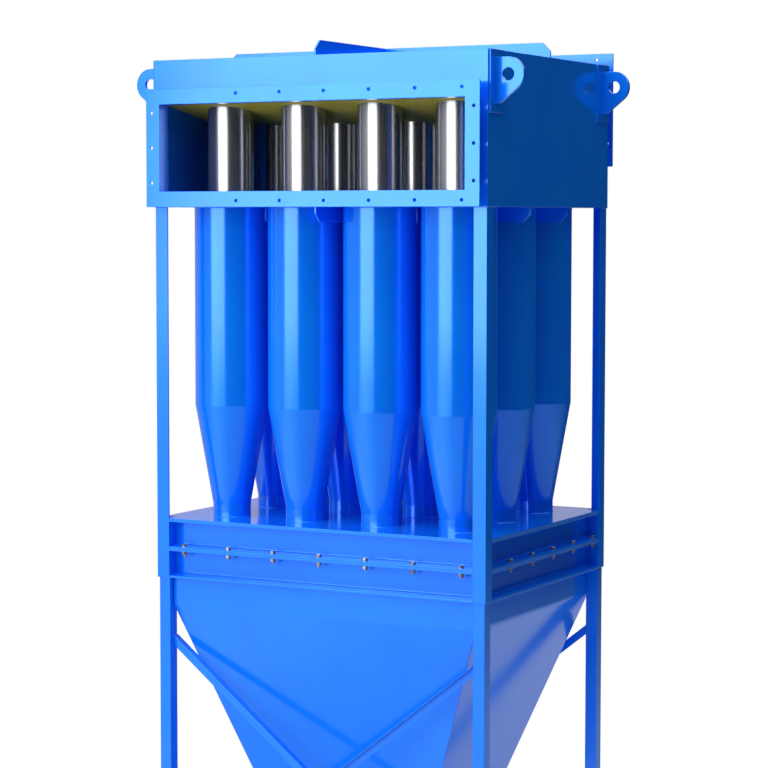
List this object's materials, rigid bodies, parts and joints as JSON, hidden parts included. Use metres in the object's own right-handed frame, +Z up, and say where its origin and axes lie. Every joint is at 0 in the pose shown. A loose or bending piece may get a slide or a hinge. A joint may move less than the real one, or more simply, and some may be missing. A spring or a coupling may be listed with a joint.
{
  "type": "cyclone separator",
  "caption": "Free-standing multi-cyclone dust separator: flanged plenum over a bank of cyclones, with a bolted ring frame, a pyramid hopper and braced legs.",
  "frame": {"origin": "on the ground under the middle of the machine", "axes": "+X to the right along the inlet face, +Y from the inlet face to the outlet face, +Z up"},
  "size_m": [1.4, 1.026, 3.323],
  "materials": {
    "blue_paint": "glossy blue enamel on welded steel plate",
    "stainless_steel": "polished stainless tube",
    "ochre_coat": "satin ochre coat on steel plate"
  },
  "bodies": {
    "root": {"back_braces": "blue_paint", "back_wall": "blue_paint", "cyclone_11": "blue_paint", "cyclone_12": "blue_paint", "cyclone_13": "blue_paint", "cyclone_14": "blue_paint", "cyclone_21": "blue_paint", "cyclone_22": "blue_paint", "cyclone_23": "blue_paint", "cyclone_24": "blue_paint", "cyclone_31": "blue_paint", "cyclone_32": "blue_paint", "cyclone_33": "blue_paint", "cyclone_34": "blue_paint", "divider_plate": "ochre_coat", "dust_plate": "blue_paint", "floor_plate": "blue_paint", "floor_ribs": "blue_paint", "front_braces": "blue_paint", "front_wall": "blue_paint", "hopper_back": "blue_paint", "hopper_front": "blue_paint", "hopper_left": "blue_paint", "hopper_outlet": "blue_paint", "hopper_right": "blue_paint", "inlet_flange": "blue_paint", "left_wall": "blue_paint", "leg_back_left": "blue_paint", "leg_back_right": "blue_paint", "leg_front_left": "blue_paint", "leg_front_right": "blue_paint", "lower_ring": "blue_paint", "lug_back_left": "blue_paint", "lug_back_right": "blue_paint", "lug_front_left": "blue_paint", "lug_front_right": "blue_paint", "outlet_flange": "blue_paint", "outlet_tubes_1": "stainless_steel", "outlet_tubes_2": "stainless_steel", "outlet_tubes_3": "stainless_steel", "posts": "blue_paint", "right_wall": "blue_paint", "roof_plate": "blue_paint", "roof_ribs": "blue_paint", "upper_ring": "blue_paint"}
  },
  "joints": []
}
